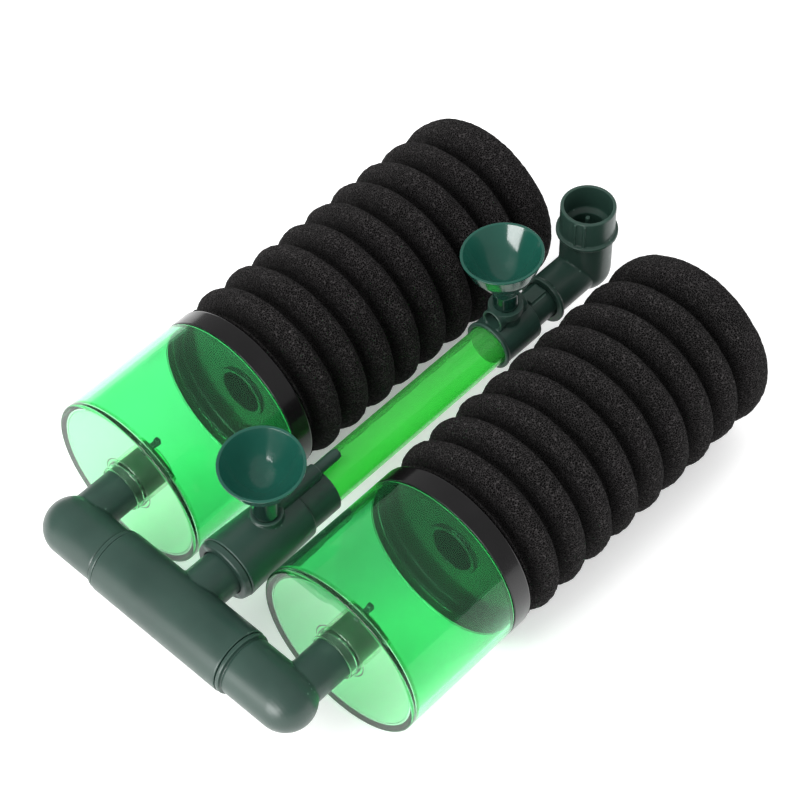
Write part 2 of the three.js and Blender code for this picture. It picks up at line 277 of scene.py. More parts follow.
def ranged(tree, value, low, high, toLow=0.0, toHigh=1.0):
    made = node(tree, "ShaderNodeMapRange", {
        "From Min": low, "From Max": high, "To Min": toLow, "To Max": toHigh,
    })
    tree.links.new(value, made.inputs["Value"])
    return made.outputs["Result"]


def buildMouldGrain():
    # Fine moulded grain: a height for the bump and a slow drift of tone.
    group, start, end = newGroup(
        "mouldGrain",
        [("Grain Scale", "NodeSocketFloat", 1400.0), ("Drift Scale", "NodeSocketFloat", 45.0)],
        [("Height", "NodeSocketFloat"), ("Drift", "NodeSocketFloat")],
    )
    place = node(group, "ShaderNodeTexCoord").outputs["Object"]
    fine = noiseAt(group, place, start.outputs["Grain Scale"], 2, 0.6)
    slow = noiseAt(group, place, start.outputs["Drift Scale"], 3, 0.55)
    group.links.new(fine, end.inputs["Height"])
    group.links.new(ranged(group, slow, 0.3, 0.7), end.inputs["Drift"])
    return group


def buildPaintedEdgeGlint():
    # Painted highlight: raised edges are lit lighter, as a glint, broken up by noise.
    group, start, end = newGroup(
        "paintedEdgeGlint",
        [("Low", "NodeSocketFloat", 0.52), ("High", "NodeSocketFloat", 0.6)],
        [("Mask", "NodeSocketFloat")],
    )
    raised = node(group, "ShaderNodeNewGeometry").outputs["Pointiness"]
    made = node(group, "ShaderNodeMapRange")
    group.links.new(raised, made.inputs["Value"])
    group.links.new(start.outputs["Low"], made.inputs["From Min"])
    group.links.new(start.outputs["High"], made.inputs["From Max"])
    place = node(group, "ShaderNodeTexCoord").outputs["Object"]
    broken = ranged(group, noiseAt(group, place, 260, 4, 0.6), 0.35, 0.65, 0.35, 1.0)
    mask = calculate(group, "MULTIPLY", made.outputs["Result"], broken, True)
    group.links.new(mask, end.inputs["Mask"])
    return group


def buildHandling():
    # Smears and fine dust from handling, for the roughness.
    group, start, end = newGroup(
        "handlingMarks",
        [("Amount", "NodeSocketFloat", 0.5)],
        [("Mask", "NodeSocketFloat")],
    )
    place = node(group, "ShaderNodeTexCoord").outputs["Object"]
    smear = ranged(group, noiseAt(group, place, 70, 5, 0.65), 0.42, 0.68)
    dust = ranged(group, noiseAt(group, place, 900, 1, 0.5), 0.64, 0.7)
    both = calculate(group, "MAXIMUM", smear, dust)
    mask = calculate(group, "MULTIPLY", both, start.outputs["Amount"], True)
    group.links.new(mask, end.inputs["Mask"])
    return group


mouldGrain = buildMouldGrain()
paintedEdgeGlint = buildPaintedEdgeGlint()
handlingMarks = buildHandling()


def useGroup(tree, group, values=None):
    made = tree.nodes.new("ShaderNodeGroup")
    made.node_tree = group
    for name, value in (values or {}).items():
        made.inputs[name].default_value = value
    return made


def newFinish(name, settings):
    material = bpy.data.materials.new(name)
    material.use_nodes = True
    tree = material.node_tree
    shader = tree.nodes["Principled BSDF"]
    for socket, value in settings.items():
        shader.inputs[socket].default_value = value
    return material, tree, shader


def mixed(tree, factor, first, second):
    made = node(tree, "ShaderNodeMix", data_type="RGBA")
    tree.links.new(factor, made.inputs[0])
    for socket, value in ((made.inputs[6], first), (made.inputs[7], second)):
        if isinstance(value, tuple):
            socket.default_value = (*value, 1)
        else:
            tree.links.new(value, socket)
    return made.outputs[2]


def bumped(tree, shader, height, strength, distance):
    bump = node(tree, "ShaderNodeBump", {"Strength": strength, "Distance": distance * mm})
    tree.links.new(height, bump.inputs["Height"])
    tree.links.new(bump.outputs["Normal"], shader.inputs["Normal"])


def mouldedPlastic(name, look):
    material, tree, shader = newFinish(name, look["shader"])
    grain = useGroup(tree, mouldGrain, {"Grain Scale": look["grainScale"]})
    edges = useGroup(tree, paintedEdgeGlint)
    marks = useGroup(tree, handlingMarks, {"Amount": look["marks"]})
    body = mixed(tree, grain.outputs["Drift"], look["dark"], look["light"])
    # painted highlight: the rim colour lightens the raised edges
    rim = calculate(tree, "MULTIPLY", edges.outputs["Mask"], look["edge"])
    tree.links.new(mixed(tree, rim, body, look["rim"]), shader.inputs["Base Color"])
    roughness = ranged(tree, marks.outputs["Mask"], 0, 1, *look["roughness"])
    tree.links.new(roughness, shader.inputs["Roughness"])
    bumped(tree, shader, grain.outputs["Height"], look["grain"], 0.05)
    return material


# rim and edge set the painted highlight colour and amount on raised edges
darkGreenLook = {
    "shader": {"Specular IOR Level": 0.45, "Coat Weight": 0.06, "Coat Roughness": 0.2},
    "dark": (0.016, 0.042, 0.032), "light": (0.024, 0.057, 0.044), "rim": (0.13, 0.22, 0.18),
    "edge": 0.7, "roughness": (0.34, 0.52), "marks": 0.6, "grain": 0.25, "grainScale": 1500,
}
blackPlasticLook = {
    "shader": {"Specular IOR Level": 0.4, "Coat Weight": 0.05, "Coat Roughness": 0.1},
    "dark": (0.004, 0.0038, 0.004), "light": (0.008, 0.0075, 0.008), "rim": (0.05, 0.048, 0.05),
    "edge": 0.6, "roughness": (0.14, 0.32), "marks": 0.5, "grain": 0.12, "grainScale": 1300,
}
darkGreenPlastic = mouldedPlastic("darkGreenPlastic", darkGreenLook)
blackPlastic = mouldedPlastic("blackPlastic", blackPlasticLook)


def shopPlace(tree):
    # Shop coordinates, in metres.
    shifted = node(tree, "ShaderNodeVectorMath", {1: shopOrigin}, operation="SUBTRACT")
    tree.links.new(node(tree, "ShaderNodeTexCoord").outputs["Object"], shifted.inputs[0])
    place = node(tree, "ShaderNodeSeparateXYZ")
    tree.links.new(shifted.outputs[0], place.inputs[0])
    return place


def reachFromAxis(tree):
    # Distance from the axis of the nearer chamber.
    place = shopPlace(tree)
    across = calculate(tree, "SUBTRACT", calculate(tree, "ABSOLUTE", place.outputs["X"]), chamberX * mm)
    squares = [calculate(tree, "MULTIPLY", part, part) for part in (across, place.outputs["Z"])]
    return calculate(tree, "SQRT", calculate(tree, "ADD", *squares))


def clearPlastic(name, look):
    material, tree, shader = newFinish(name, look["shader"])
    # light passes through the clear pieces on its way to what lies under them
    shadowRay = node(tree, "ShaderNodeLightPath").outputs["Is Shadow Ray"]
    tree.links.new(ranged(tree, shadowRay, 0, 1, 1, look["shade"]), shader.inputs["Alpha"])
    grain = useGroup(tree, mouldGrain, {"Grain Scale": 500, "Drift Scale": 30})
    marks = useGroup(tree, handlingMarks, {"Amount": look["marks"]})
    tint = mixed(tree, grain.outputs["Drift"], look["dark"], look["light"])
    if "face" in look:
        # painted light and shade: the flat face is painted paler, as if brighter light shows through it,
        # and the round edge between face and wall is painted as a dark green line of shade
        faceEnd = look["faceEnd"] * mm
        paintedFaceLight = ranged(tree, shopPlace(tree).outputs["Y"], faceEnd, faceEnd + 0.6 * mm, 1, 0)
        rimShadeStart = look["rimShadeStart"] * mm
        edge = ranged(tree, reachFromAxis(tree), rimShadeStart, rimShadeStart + 0.3 * mm)
        tint = mixed(tree, paintedFaceLight, tint, mixed(tree, edge, look["face"], look["rim"]))
    if "neck" in look:
        # painted shade: the neck under the dish, below neckShadeTop, is darker than the dish above it
        neckShadeTop = look["neckShadeTop"] * mm
        paintedNeckShade = ranged(tree, shopPlace(tree).outputs["Z"], neckShadeTop - 3 * mm, neckShadeTop, 1, 0)
        tint = mixed(tree, paintedNeckShade, tint, look["neck"])
    tree.links.new(tint, shader.inputs["Base Color"])
    roughness = ranged(tree, marks.outputs["Mask"], 0, 1, *look["roughness"])
    tree.links.new(roughness, shader.inputs["Roughness"])
    bumped(tree, shader, grain.outputs["Height"], 0.06, 0.05)
    return material


# face is the painted paler face colour, rim the painted dark edge line of shade
clearCupLook = {
    "shader": {"Transmission Weight": 0.985, "IOR": 1.36, "Specular IOR Level": 0.4},
    "dark": (0.23, 0.83, 0.41), "light": (0.27, 0.86, 0.46), "roughness": (0.0, 0.05), "marks": 0.5,
    "face": (0.74, 0.94, 0.76), "faceEnd": 2.6, "rim": (0.08, 0.5, 0.16), "rimShadeStart": 32.6,
    "shade": 0.12,
}
clearTubeLook = {
    "shader": {"Transmission Weight": 0.88, "IOR": 1.38, "Specular IOR Level": 0.5},
    "dark": (0.22, 0.95, 0.26), "light": (0.27, 0.98, 0.31), "roughness": (0.02, 0.1), "marks": 0.5,
    "shade": 0.2,
}
# neck is the painted shade colour of the neck under the dish
tealRubberLook = {
    "shader": {
        "Transmission Weight": 0.12, "IOR": 1.4, "Specular IOR Level": 0.5,
        "Coat Weight": 0.6, "Coat Roughness": 0.08,
    },
    "dark": (0.006, 0.065, 0.046), "light": (0.012, 0.095, 0.068), "roughness": (0.16, 0.3),
    "marks": 0.5, "neck": (0.007, 0.028, 0.021), "neckShadeTop": 24, "shade": 0.8,
}
clearCupPlastic = clearPlastic("clearCupPlastic", clearCupLook)
clearTubePlastic = clearPlastic("clearTubePlastic", clearTubeLook)
tealRubber = clearPlastic("tealRubber", tealRubberLook)


def foamFinish():
    # Open-cell foam: dark, with fine pores, lighter cell walls and a faint sheen.
    look = {
        "cells": 1250, "pores": 1600, "wall": (0.062, 0.0575, 0.058),
        "pore": (0.0009, 0.0008, 0.0008), "fresh": (0.0034, 0.0031, 0.0031), "bump": 1.0, "depth": 0.6,
        "valley": 28.5, "hill": 34.5, "valleyLight": 0.25,
    }
    material, tree, shader = newFinish("blackFoam", {
        "Roughness": 0.95, "Specular IOR Level": 0.06, "Sheen Weight": 0.02, "Sheen Roughness": 0.5,
    })
    place = node(tree, "ShaderNodeTexCoord").outputs["Object"]
    cells = node(tree, "ShaderNodeTexVoronoi", {"Scale": look["cells"]}, feature="DISTANCE_TO_EDGE")
    pores = node(tree, "ShaderNodeTexVoronoi", {"Scale": look["pores"]}, feature="SMOOTH_F1")
    for texture in (cells, pores):
        tree.links.new(place, texture.inputs["Vector"])
    walls = ranged(tree, cells.outputs["Distance"], 0.0, 0.16, 1.0, 0.0)
    holes = ranged(tree, pores.outputs["Distance"], 0.1, 0.55, 0.0, 1.0)
    patches = ranged(tree, noiseAt(tree, place, 160, 4, 0.6), 0.3, 0.7)
    base = mixed(tree, patches, look["pore"], look["fresh"])
    # less light reaches the open cells down in the grooves
    low = look["valley"] * mm
    high = look["hill"] * mm
    shade = ranged(tree, reachFromAxis(tree), low, high, look["valleyLight"], 1.0)
    lit = calculate(tree, "MULTIPLY", calculate(tree, "MULTIPLY", walls, holes, True), shade)
    tree.links.new(mixed(tree, lit, base, look["wall"]), shader.inputs["Base Color"])
    height = calculate(tree, "ADD", calculate(tree, "MULTIPLY", walls, 0.45), holes)
    bumped(tree, shader, height, look["bump"], look["depth"])
    return material


blackFoam = foamFinish()
print("finishes ready")

# Media cups.

cup = {
    "radius": 34, "length": 49.6, "inner": 31.8, "floor": 2.4, "edge": 0.9,
    "lip": 32.7, "lipLength": 3, "root": 10.6, "rootStep": 0.9,
    "collar": 9.2, "collarBore": 8.2, "collarFront": -2.7, "collarBack": 13.8,
    "catchLeg": (2, 6, 1.5), "catchHead": (2, 1.6, 2.6),
}
roundSegments = 144  # round the large turned pieces


def cupMesh(x):
    outline = [
        (cup["collarBore"], cup["collarFront"], 0.3),
        (cup["collar"] - 0.2, cup["collarFront"], 0.3),
        (cup["collar"] - 0.2, 0, 0.5),
        (cup["radius"], 0, cup["edge"]),
        (cup["radius"], cup["length"], 0.3),
        (cup["lip"], cup["length"], 0.2),
        (cup["lip"], cup["length"] + cup["lipLength"], 0.3),
        (cup["inner"], cup["length"] + cup["lipLength"], 0.3),
        (cup["inner"], cup["floor"], 1.4),
        (cup["root"], cup["floor"], 0.4),
        (cup["root"], cup["floor"] + cup["rootStep"], 0.3),
        (cup["collar"], cup["floor"] + cup["rootStep"], 0.3),
        (cup["collar"], cup["collarBack"], 0.35),
        (cup["collarBore"], cup["collarBack"], 0.35),
    ]
    return turned(roundedOutline(outline, 0.3), roundSegments, "Y", (x, 0, 0))


def catchMesh(x):
    # The catch stands on the collar's end and keeps the elbow from backing out.
    leg = block(cup["catchLeg"], (x, cup["collarBack"] - 0.2, cup["collarBore"] + 0.95))
    head = block(cup["catchHead"], (x, cup["collarBack"] + 2, cup["collarBore"] + 1.2))
    return moulded([leg, head], [], 0.2, 2)


for side, sign in sides.items():
    x = sign * chamberX
    body = f"cup_{side}"
    mesh = cupMesh(x)
    fitted(f"mediaCup_{side}", mesh, body, clearCupPlastic, [f"media_cup_{side}"])
    fitted(f"collarCatch_{side}", catchMesh(x), body, darkGreenPlastic)
print("media cups made")

# Lids, cores and caps.

lid = {
    "radius": 34, "front": 50.1, "back": 58.3, "seat": 33, "seatEnd": 53, "dish": 31.2, "floor": 56.6,
    "boss": 10.4, "bossFront": 55.6, "hole": 8.5, "tubeEnd": 66, "tube": 10,
}
core = {
    "radius": 12, "bore": 10.3, "front": 58.6, "back": 181,
    "slotRows": 7, "slotWidth": 4.2, "slotLength": 11, "slotReach": 30,
}
cap = {"depth": 6, "thick": 1.8}


def lidMesh(x):
    outline = [
        (lid["hole"], lid["bossFront"], 0.5),
        (lid["boss"], lid["bossFront"], 0.5),
        (lid["boss"], lid["floor"], 0.4),
        (lid["dish"], lid["floor"], 0.8),
        (lid["dish"], lid["seatEnd"], 0.4),
        (lid["seat"], lid["seatEnd"], 0.1),
        (lid["seat"], lid["front"], 0.25),
        (lid["radius"], lid["front"], 0.5),
        (lid["radius"], lid["back"], 0.9),
        (lid["tube"] + 0.3, lid["back"], 0.2),
        (lid["tube"], lid["tubeEnd"], 0.3),
        (lid["hole"], lid["tubeEnd"], 0.3),
    ]
    return turned(roundedOutline(outline, 0.3), roundSegments, "Y", (x, 0, 0))


def coreMesh(x):
    outline = [
        (core["bore"], core["front"]), (core["radius"], core["front"]),
        (core["radius"], core["back"]), (core["bore"], core["back"]),
    ]
    body = turned(roundedOutline(outline, 0.3, 2), 48, "Y", (x, 0, 0))
    pitch = (core["back"] - lid["tubeEnd"]) / core["slotRows"]
    width = core["slotWidth"]
    length = core["slotLength"]
    reach = core["slotReach"]
    cuts = []
    for row in range(core["slotRows"]):
        y = lid["tubeEnd"] + pitch * (row + 0.5)
        cuts.append(block((width, length, reach), (x, y, 0)))
        cuts.append(block((reach, length, width), (x, y, 0)))
    return moulded([body], cuts, 0.55, 1)


def capMesh(x):
    seat = core["back"] + fit
    plug = core["bore"] - fit
    start = core["back"] - cap["depth"]
    end = seat + cap["thick"]
    outline = [
        (0, start), (plug, start, 0.6), (plug, seat, 0.1),
        (core["radius"], seat, 0.3), (core["radius"], end, 0.6), (0, end),
    ]
    return turned(roundedOutline(outline, 0.3), 64, "Y", (x, 0, 0))


lidPieces = [
    ("cupLid", lidMesh, "cup_lid"),
    ("spongeCore", coreMesh, "sponge_core"),
    ("coreCap", capMesh, "core_cap"),
]
for side, sign in sides.items():
    for name, makeMesh, cadNode in lidPieces:
        mesh = makeMesh(sign * chamberX)
        nodes = [f"{cadNode}_{side}"]
        fitted(f"{name}_{side}", mesh, f"lid_{side}", blackPlastic, nodes)
print("lids and cores made")

# Foam sponges.

foam = {
    "front": 59, "back": 189.3, "crest": 35.35, "groove": 27.6, "bore": 12.4, "boreBack": 184,
    "ribs": 9, "pitch": 13.83, "firstCrest": 69.7, "segments": 300, "step": 0.75, "faceStep": 1.2,
    "endStep": 0.9, "grit": 0.22, "wobble": 0.4, "endRadius": 30.5, "ribShare": 0.84, "lobePower": 2.4,
    "lobeRound": 0.8, "limit": 35.6,
}


def foamRadius(y):
    # Rounded lobes with sharp grooves between them.
    place = (y - foam["firstCrest"]) / foam["pitch"]
    rib = round(place)
    share = min(1.0, abs(place - rib) * 2)
    if rib > foam["ribs"] - 1 or (rib == foam["ribs"] - 1 and place > rib):
        lastCrest = foam["firstCrest"] + foam["pitch"] * (foam["ribs"] - 1)
        past = min(1.0, (y - lastCrest) / (foam["back"] - lastCrest))
        fall = math.sqrt(max(0.0, 1 - past ** foam["lobePower"]))
        return foam["endRadius"] + (foam["crest"] - foam["endRadius"]) * fall
    lobe = (1 - min(1.0, share / foam["ribShare"]) ** foam["lobePower"]) ** foam["lobeRound"]
    return foam["groove"] + (foam["crest"] - foam["groove"]) * lobe


def foamMesh(x):
    profile = [
        (foam["bore"], foam["boreBack"]),
        (foam["bore"], foam["front"] + 0.4),
        (foam["bore"] + 0.4, foam["front"]),
    ]
    across = foam["bore"] + foam["faceStep"]
    while across < foamRadius(foam["front"]) - 0.8:
        profile.append((across, foam["front"]))
        across += foam["faceStep"]
    # down the ribs in tiny steps, keeping a point whenever the outline has gone far enough
    y = foam["front"] + 0.15
    spot = Vector((foamRadius(y), y))
    fine = 0.05
    profile.append(tuple(spot))
    while y < foam["back"]:
        y += fine
        here = Vector((foamRadius(y), y))
        if (here - spot).length > foam["step"]:
            spot = here
            profile.append(tuple(spot))
    across = foam["endRadius"] - 0.5
    while across > 0.6:
        crown = 0.5 * (across / foam["endRadius"]) ** 4
        profile.append((across, foam["back"] - crown))
        across -= foam["endStep"]
    profile.append((0, foam["back"]))
    profile.append((0, foam["boreBack"]))
    mesh = turned(profile, foam["segments"], "Y", (x, 0, 0))
    for vertex in mesh.vertices:
        spot = vertex.co
        outward = Vector((spot.x - x, 0, spot.z))
        reach = outward.length
        if reach < foam["bore"] + 1:
            continue
        # slow waviness of the cut, then the grit of open cells
        wave = noise.noise(spot * 0.07 + Vector((3, 1, 7)))
        grit = noise.noise(spot * 0.42) + 0.6 * noise.noise(spot * 0.8)
        push = foam["wobble"] * (wave - 0.25) + foam["grit"] * (grit - 0.35)
        push = min(push, foam["limit"] - reach) if reach > 30 else push
        atBack = spot.y > foam["back"] - 1
        atFront = spot.y < foam["front"] + 0.1
        if atBack or atFront:
            dent = max(0.0, foam["grit"] * (0.5 - grit))
            vertex.co.y -= dent * (1 if atBack else -0.3)
        if reach > 28:
            vertex.co += outward.normalized() * push
    return mesh


for side, sign in sides.items():
    mesh = foamMesh(sign * chamberX)
    piece = fitted(f"foamSponge_{side}", mesh, f"foam_{side}", blackFoam, [f"sponge_{side}"])
print("sponges made")

# Manifold: tee and elbows.

tee = {
    "radius": 12.05, "half": 29.5, "bore": 7.6, "socket": 9.3, "socketDepth": 11.2,
    "branch": 8.5, "branchBore": 6.9, "branchEnd": 6,
}
elbow = {
    "radius": 10.9, "bore": 7.4, "flange": 11.8, "flangeWidth": 1.5, "groove": 0.5,
    "spigot": 9, "spigotLength": 11, "branch": 7.9, "branchBore": 6.4, "branchEnd": 13.2,
}


def teeMesh():
    at = (0, manifoldY, 0)
    half = tee["half"]
    run = rod(tee["radius"], -half, half, "X", at, 96)
    end = tee["branchEnd"] - manifoldY
    floor = half - tee["socketDepth"]
    bores = [
        rod(tee["bore"], -half - 1, half + 1, "X", at),
        rod(tee["socket"], floor, half + 1, "X", at),
        rod(tee["socket"], floor, half + 1, "-X", at),
        rod(tee["branchBore"], 0, end + 1, "Y", at),
    ]
    return moulded([run, rod(tee["branch"], 0, end, "Y", at)], bores, 0.3, 1)


def elbowMesh(x, towardsTee):
    at = (x, manifoldY, 0)
    shoulder = chamberX - tee["half"] - fit
    tip = shoulder + elbow["spigotLength"]
    neck = shoulder - elbow["flangeWidth"]
    groove = elbow["radius"] - elbow["groove"]
    run = turned([
        (0, 0), (elbow["radius"], 0), (elbow["radius"], neck - 0.9), (groove, neck - 0.7), (groove, neck),
        (elbow["flange"], neck), (elbow["flange"], shoulder),
        (elbow["spigot"], shoulder), (elbow["spigot"], tip), (0, tip),
    ], 96, towardsTee, at)
    end = elbow["branchEnd"] - manifoldY
    bores = [
        rod(elbow["bore"], 0, tip + 1, towardsTee, at),
        ball(elbow["bore"], at),
        rod(elbow["branchBore"], 0, end + 1, "Y", at),
    ]
    return moulded([run, ball(elbow["radius"], at), rod(elbow["branch"], 0, end, "Y", at)], bores, 0.3, 1)


fitted("manifoldTee", teeMesh(), "manifold", darkGreenPlastic, ["manifold_tee"])
for side, sign in sides.items():
    towardsTee = "-X" if sign > 0 else "X"
    mesh = elbowMesh(sign * chamberX, towardsTee)
    nodes = [f"elbow_{side}"]
    fitted(f"manifoldElbow_{side}", mesh, f"arm_{side}", darkGreenPlastic, nodes)
print("manifold made")

# Coupling, air line and lift tube.

coupling = {
    "front": -0.6, "radius": 12.2, "taperEnd": 31.6, "taperRadius": 10.7, "socket": 9.5, "back": 45.2,
    "bore": 7, "branchEnd": 6.4, "tubeStart": 33, "boss": 5.9, "bossTop": 12.4,
    "crease": 0.45, "creaseBottom": 9.9, "creaseTop": 14,
}
endRing = {"front": -3.4, "back": -0.9, "frontRadius": 11.4, "backRadius": 12}
air = {
    "z": 11.8, "housing": 3.1, "housingFront": 25.6, "housingBack": 43, "web": (2.6, 6), "seat": 2.4,
    "barbFront": 35.6, "barbBack": 53.7, "barb": 2.1, "barbBore": 1.1,
    "wellY": 29.5, "jet": 1.6, "jetBore": 0.8, "jetBottom": -1.5, "jetTop": 9.5,
}
tube = {"radius": 8, "bore": 6.8, "front": 33.3, "back": 147.2}
stem = {"radius": 4, "foot": 9.6}


def couplingMesh():
    body = turned([
        (0, coupling["front"]), (coupling["radius"], coupling["front"]),
        (coupling["taperRadius"], coupling["taperEnd"]), (coupling["socket"], coupling["taperEnd"] + 0.5),
        (coupling["socket"], coupling["back"]), (0, coupling["back"]),
    ], 96)
    bossAt = (0, lowerBossY, 0)
    boss = rod(coupling["boss"], 0, coupling["bossTop"], "Z", bossAt)
    inside = coupling["boss"]
    outside = coupling["boss"] + coupling["crease"]
    bottom = coupling["creaseBottom"]
    top = coupling["creaseTop"]
    crease = turned([(inside, bottom), (outside, bottom), (outside, top), (inside, top)], 64, "Z", bossAt)
    front = air["housingFront"]
    back = air["housingBack"]
    airAt = (0, 0, air["z"])
    housing = rod(air["housing"], front, back, "Y", airAt)
    tip = ball(air["housing"], (0, front, air["z"]))
    webWidth, webHeight = air["web"]
    web = block((webWidth, back - front - 1, webHeight), (0, (front + back) / 2, air["z"] - 4))
    bores = [
        rod(tee["branch"] + fit, coupling["front"] - 1, coupling["branchEnd"]),
        rod(coupling["bore"], coupling["branchEnd"] - 1, coupling["tubeStart"] + 1),
        rod(tube["radius"] + fit, coupling["tubeStart"], coupling["back"] + 1),
        rod(stem["radius"] + fit, stem["foot"] - fit, coupling["bossTop"] + 2, "Z", bossAt),
        rod(air["seat"], air["barbFront"] - fit, back + 1, "Y", airAt),
    ]
    return moulded([body, boss, housing, tip, web], [crease, *bores], 0.32, 2)


def ringMesh():
    bore = tee["branch"] + fit
    outline = [
        (bore, endRing["front"], 0.3), (endRing["frontRadius"], endRing["front"], 0.9),
        (endRing["backRadius"], endRing["back"], 0.3), (bore, endRing["back"], 0.3),
    ]
    return turned(roundedOutline(outline, 0.3), 96)


def barbMesh():
    outline = [
        (air["barbBore"], air["barbFront"]), (air["barb"], air["barbFront"]),
        (air["barb"], air["barbBack"] - 1), (air["barb"] - 0.3, air["barbBack"]),
        (air["barbBore"], air["barbBack"]),
    ]
    return turned(roundedOutline(outline, 0.25), 40, "Y", (0, 0, air["z"]))


def jetMesh():
    outline = [
        (air["jetBore"], air["jetBottom"]), (air["jet"], air["jetBottom"]),
        (air["jet"], air["jetTop"]), (air["jetBore"], air["jetTop"]),
    ]
    return turned(roundedOutline(outline, 0.2), 32, "Z", (0, air["wellY"], 0))


def tubeMesh():
    outline = [
        (tube["bore"], tube["front"]), (tube["radius"], tube["front"]),
        (tube["radius"], tube["back"]), (tube["bore"], tube["back"]),
    ]
    return turned(roundedOutline(outline, 0.25), 96)


fitted("riserCoupling", couplingMesh(), "manifold", darkGreenPlastic, ["riser_coupling"])
fitted("couplingRing", ringMesh(), "manifold", darkGreenPlastic, ["coupling_ring"])
fitted("airBarb", barbMesh(), "manifold", darkGreenPlastic, ["air_barb"])
fitted("airJet", jetMesh(), "manifold", darkGreenPlastic, ["air_jet"])
fitted("liftTube", tubeMesh(), "manifold", clearTubePlastic, ["lift_tube"])
print("coupling and tube made")

# Upper holder.

holder = {
    "front": 131.5, "lip": 9.9, "lipWidth": 1.3, "radius": 9.4, "back": 150.7, "stop": 147.6,
    "spigot": 7, "spigotBore": 5.4, "spigotBack": 172, "boss": 6.4, "bossTop": 15.6, "bossRing": 3.2,
    "post": 5.4, "hoodZ": 11.7, "hood": 4.5, "hoodBore": 3.4, "hoodFront": 133.7, "hoodBack": 148.5,
    "keySize": (5.2, 8.2, 3), "keyY": 156.6,
}


def holderMesh():
    front = holder["front"]
    lipEnd = front + holder["lipWidth"]
    body = turned([
        (0, front), (holder["lip"], front), (holder["lip"], lipEnd), (holder["radius"], lipEnd + 0.4),
        (holder["radius"], holder["back"]), (holder["spigot"], holder["back"] + 0.6),
        (holder["spigot"], holder["spigotBack"]), (0, holder["spigotBack"]),
    ], 96)
    bossAt = (0, upperBossY, 0)
    top = holder["bossTop"]
    hoodAt = (0, 0, holder["hoodZ"])
    hollowAt = (0, 0, holder["hoodZ"] + 0.6)
    adds = [
        rod(holder["hood"], holder["hoodFront"], holder["hoodBack"], "Y", hoodAt),
        rod(holder["post"], 0, top, "Z", bossAt),
        rod(holder["boss"], top - holder["bossRing"], top, "Z", bossAt),
        block(holder["keySize"], (0, holder["keyY"], holder["spigot"] - 0.6)),
    ]
    bores = [
        rod(tube["radius"] + fit, front - 1, holder["stop"]),
        rod(holder["spigotBore"], holder["stop"] - 1, holder["spigotBack"] + 1),
        rod(holder["hoodBore"], holder["hoodFront"] - 1, holder["hoodBack"] - 2, "Y", hollowAt),
        rod(stem["radius"] + fit, stem["foot"] - fit, top + 1, "Z", bossAt),
    ]
    return moulded([body, *adds], bores, 0.3, 2)


fitted("tubeHolder", holderMesh(), "holder", darkGreenPlastic, ["tube_holder"])
print("holder made")

# Suction cups.

sucker = {
    "neck": 4.8, "neckGap": 0.4,
    "outer": [(4.6, 13, 3), (6.2, 17, 4), (9.6, 21, 6), (12.4, 25.6, 8), (14.3, 30.4, 6)],
    "radius": 15, "height": 32.6, "rim": 1, "floor": 18.8, "bowlSteps": 16,
    "lean": {"lower": (4, 3.5), "upper": (2, -4.5)},  # degrees about X and Y, a soft neck's own lean
    "bendStart": 7, "bendLength": 9,
}


def suckerMesh(y, bossTop, lean):
    rim = sucker["height"]
    neck = bossTop - stem["foot"] + sucker["neckGap"]
    outline = [
        (0, 0), (stem["radius"], 0, 0.6), (stem["radius"], neck - 0.2, 0.2), (sucker["neck"], neck, 0.4),
        *sucker["outer"], (sucker["radius"], rim - 0.5, 0.3), (sucker["radius"], rim, 0.25),
    ]
    # the inside of the dish is a parabola
    bowl = sucker["radius"] - sucker["rim"]
    for step in range(sucker["bowlSteps"], -1, -1):
        share = step / sucker["bowlSteps"]
        outline.append((bowl * share, sucker["floor"] + (rim - sucker["floor"]) * share ** 2, 0.25))
    mesh = turned(roundedOutline(outline, 0.3, 6), roundSegments, "Z")
    # the neck bends a little above the ring, so the dish leans
    bendStart = sucker["bendStart"]
    bendLength = sucker["bendLength"]
    pivot = Vector((0, 0, bendStart + bendLength / 2))
    for vertex in mesh.vertices:
        share = min(1.0, max(0.0, (vertex.co.z - bendStart) / bendLength))
        aboutX, aboutY = (math.radians(angle) * share * share * (3 - 2 * share) for angle in lean)
        turn = Matrix.Rotation(aboutX, 3, "X") @ Matrix.Rotation(aboutY, 3, "Y")
        vertex.co = turn @ (vertex.co - pivot) + pivot
    mesh.transform(Matrix.Translation((0, y, stem["foot"])))
    return mesh


bosses = {"lower": (lowerBossY, coupling["bossTop"]), "upper": (upperBossY, holder["bossTop"])}
for name, (y, bossTop) in bosses.items():
    mesh = suckerMesh(y, bossTop, sucker["lean"][name])
    nodes = [f"suction_cup_{name}"]
    fitted(f"suctionCup_{name}", mesh, f"sucker_{name}", tealRubber, nodes)
print("suction cups made")

# Outlet elbow and nozzle.

outlet = {
    "front": 161.5, "lip": 9.9, "lipWidth": 1.4, "neck": 8.3, "socketEnd": 172.3, "neckBore": 6.3,
    "pipe": 9.8, "pipeBore": 8.2, "pipeTop": 18,
}
nozzle = {
    "bead": 11.5, "beadBottom": 18.3, "beadTop": 19.8, "radius": 10.3, "top": 31.7, "mouth": 9,
    "spigotBottom": 12, "spigotBore": 6.9, "bar": (1.6, 2), "pin": 0.85, "pinTop": 25.2,
    "ribWidth": 0.9, "ribAngles": (-57, -77, 103, 123),
}


